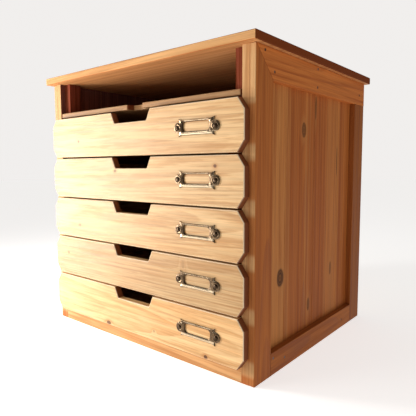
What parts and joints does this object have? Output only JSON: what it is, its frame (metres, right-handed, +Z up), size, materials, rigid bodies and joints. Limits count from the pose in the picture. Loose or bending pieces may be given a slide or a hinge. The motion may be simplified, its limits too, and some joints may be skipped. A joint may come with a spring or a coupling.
{
  "type": "paper storage drawers",
  "caption": "Small solid wood desktop chest of shallow paper drawers with clipped-corner fronts, finger notches and brass label holders, under an open tray.",
  "frame": {"origin": "on the floor under the middle of the whole chest", "axes": "+X to the right seen from the front, +Y to the back, +Z up; the drawers open along -Y"},
  "size_m": [0.4208, 0.3516, 0.4106],
  "materials": {
    "pine_front": "clear satin lacquer on pale knotty pine",
    "pine_case": "clear satin lacquer on warm pine",
    "pine_top": "clear satin lacquer on warm pine",
    "pine_inner": "planed pine, lightly sealed",
    "pine_box": "planed pine, lightly sealed",
    "panel_board": "thin plywood, lightly sealed",
    "antique_brass": "cast, darkened antique brass with rubbed edges",
    "nail_steel": "dark finishing nails"
  },
  "bodies": {
    "case": {"back_nails": "nail_steel", "back_panel": "panel_board", "back_post_left": "pine_inner", "back_post_right": "pine_inner", "back_stile_left": "pine_case", "back_stile_right": "pine_case", "base_rail": "pine_case", "bottom_board": "panel_board", "frame_nails": "nail_steel", "front_post_left": "pine_inner", "front_post_right": "pine_inner", "front_stile_left": "pine_case", "front_stile_right": "pine_case", "runners_left": "pine_inner", "runners_right": "pine_inner", "shelf": "pine_inner", "side_bottom_rail_left": "pine_case", "side_bottom_rail_right": "pine_case", "side_planks_left": "pine_case", "side_planks_right": "pine_case", "side_top_rail_left": "pine_case", "side_top_rail_right": "pine_case", "top_board": "pine_top"},
    "drawer_1": {"drawer_1_back": "pine_box", "drawer_1_bottom": "panel_board", "drawer_1_front": "pine_front", "drawer_1_label_holder": "antique_brass", "drawer_1_label_pins": "antique_brass", "drawer_1_side_left": "pine_box", "drawer_1_side_right": "pine_box"},
    "drawer_2": {"drawer_2_back": "pine_box", "drawer_2_bottom": "panel_board", "drawer_2_front": "pine_front", "drawer_2_label_holder": "antique_brass", "drawer_2_label_pins": "antique_brass", "drawer_2_side_left": "pine_box", "drawer_2_side_right": "pine_box"},
    "drawer_3": {"drawer_3_back": "pine_box", "drawer_3_bottom": "panel_board", "drawer_3_front": "pine_front", "drawer_3_label_holder": "antique_brass", "drawer_3_label_pins": "antique_brass", "drawer_3_side_left": "pine_box", "drawer_3_side_right": "pine_box"},
    "drawer_4": {"drawer_4_back": "pine_box", "drawer_4_bottom": "panel_board", "drawer_4_front": "pine_front", "drawer_4_label_holder": "antique_brass", "drawer_4_label_pins": "antique_brass", "drawer_4_side_left": "pine_box", "drawer_4_side_right": "pine_box"},
    "drawer_5": {"drawer_5_back": "pine_box", "drawer_5_bottom": "panel_board", "drawer_5_front": "pine_front", "drawer_5_label_holder": "antique_brass", "drawer_5_label_pins": "antique_brass", "drawer_5_side_left": "pine_box", "drawer_5_side_right": "pine_box"}
  },
  "joints": [
    {"name": "drawer_1_slide", "type": "slide", "parent": "case", "child": "drawer_1", "axis": [0, -1, 0], "range_m": [0, 0.26]},
    {"name": "drawer_2_slide", "type": "slide", "parent": "case", "child": "drawer_2", "axis": [0, -1, 0], "range_m": [0, 0.26]},
    {"name": "drawer_3_slide", "type": "slide", "parent": "case", "child": "drawer_3", "axis": [0, -1, 0], "range_m": [0, 0.26]},
    {"name": "drawer_4_slide", "type": "slide", "parent": "case", "child": "drawer_4", "axis": [0, -1, 0], "range_m": [0, 0.26]},
    {"name": "drawer_5_slide", "type": "slide", "parent": "case", "child": "drawer_5", "axis": [0, -1, 0], "range_m": [0, 0.26]}
  ]
}
